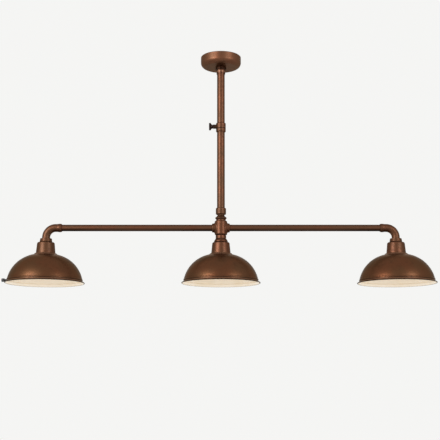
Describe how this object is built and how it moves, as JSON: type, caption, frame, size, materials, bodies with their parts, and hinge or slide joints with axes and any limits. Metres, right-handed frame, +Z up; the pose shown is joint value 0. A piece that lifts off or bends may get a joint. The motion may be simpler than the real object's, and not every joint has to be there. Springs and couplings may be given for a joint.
{
  "type": "linear island pendant",
  "caption": "Bar pendant with domed metal shades on swept elbow arms, hung from a round canopy by a telescoping clamped stem.",
  "frame": {"origin": "in the ceiling plane, on the stem's axis", "axes": "+Z up into the ceiling, +X along the bar, +Y to the back"},
  "size_m": [1.398, 0.2542, 0.7581],
  "materials": {
    "bronze_finish": "satin antique bronze",
    "shade_finish": "satin antique bronze outside, cream enamel inside",
    "dark_bronze": "dark bronze",
    "zinc_steel": "zinc plated",
    "green_screw": "green dyed zinc",
    "brass": "plain turned",
    "inner_tube": "bronze plated",
    "holder_plastic": "moulded phenolic",
    "lead_sleeve": "smooth sleeve",
    "switch_casing": "ivory moulded",
    "black_knob": "black moulded",
    "switch_nut": "darkened steel"
  },
  "bodies": {
    "ceiling_mount": {"crossbar": "zinc_steel", "ground_screw": "green_screw", "nipple": "zinc_steel", "nipple_nuts": "zinc_steel", "lead_bushing": "holder_plastic", "stem_hanger": "zinc_steel", "stem_upper": "bronze_finish", "slide_bush": "brass", "slide_tube": "inner_tube", "guide_ring": "brass", "stem_lead": "lead_sleeve"},
    "canopy": {"canopy": "bronze_finish", "canopy_ring": "bronze_finish", "canopy_ring_screw": "zinc_steel"},
    "carriage": {"clamp_collar": "bronze_finish", "stem_lower": "bronze_finish", "stem_coupling": "bronze_finish", "stem_neck": "bronze_finish", "neck_clip": "zinc_steel"},
    "clamp_pad": {"clamp_pad": "brass"},
    "thumbscrew": {"thumbscrew": "dark_bronze"},
    "arms": {"lock_ring": "bronze_finish", "cross": "bronze_finish", "splice_block": "holder_plastic", "bar_left": "bronze_finish", "bar_right": "bronze_finish", "elbow_left": "bronze_finish", "elbow_right": "bronze_finish", "lead_left": "lead_sleeve", "lead_centre": "lead_sleeve", "lead_right": "lead_sleeve", "centre_coupling": "bronze_finish", "lamp_nipples": "zinc_steel", "lamp_nuts": "zinc_steel", "cap_ring_left": "bronze_finish", "cup_left": "bronze_finish", "lampholder_left": "holder_plastic", "screw_shell_left": "brass", "contact_left": "brass", "shade_ring_left": "holder_plastic", "shade_left": "shade_finish", "cap_ring_centre": "bronze_finish", "cup_centre": "bronze_finish", "lampholder_centre": "holder_plastic", "screw_shell_centre": "brass", "contact_centre": "brass", "shade_ring_centre": "holder_plastic", "shade_centre": "shade_finish", "cap_ring_right": "bronze_finish", "cup_right": "bronze_finish", "lampholder_right": "holder_plastic", "screw_shell_right": "brass", "contact_right": "brass", "shade_ring_right": "holder_plastic", "shade_right": "shade_finish", "switch_body": "switch_casing", "switch_nut": "switch_nut"},
    "switch_knob": {"switch_knob": "black_knob"}
  },
  "joints": [
    {"name": "canopy_drop", "type": "slide", "parent": "ceiling_mount", "child": "canopy", "axis": [0, 0, -1], "range_m": [0, 0.165]},
    {"name": "stem_height", "type": "slide", "parent": "ceiling_mount", "child": "carriage", "axis": [0, 0, -1], "range_m": [0, 0.18]},
    {"name": "pad_travel", "type": "slide", "parent": "carriage", "child": "clamp_pad", "axis": [-1, 0, 0], "range_m": [0, 0.0021]},
    {"name": "clamp_turn", "type": "hinge", "parent": "clamp_pad", "child": "thumbscrew", "pos_m": [-0.033, 0, -0.2388], "axis": [1, 0, 0], "range_deg": [0, 720]},
    {"name": "bar_swivel", "type": "hinge", "parent": "carriage", "child": "arms", "pos_m": [0, 0, -0.5578], "axis": [0, 0, 1], "range_deg": [-170, 170]},
    {"name": "switch_turn", "type": "hinge", "parent": "arms", "child": "switch_knob", "pos_m": [-0.6995, 0, -0.74745], "axis": [-1, 0, 0], "range_deg": [0, 90]}
  ],
  "couplings": [
    {"joint": "pad_travel", "follows": "clamp_turn", "m_per_rad": 0.00015915}
  ]
}
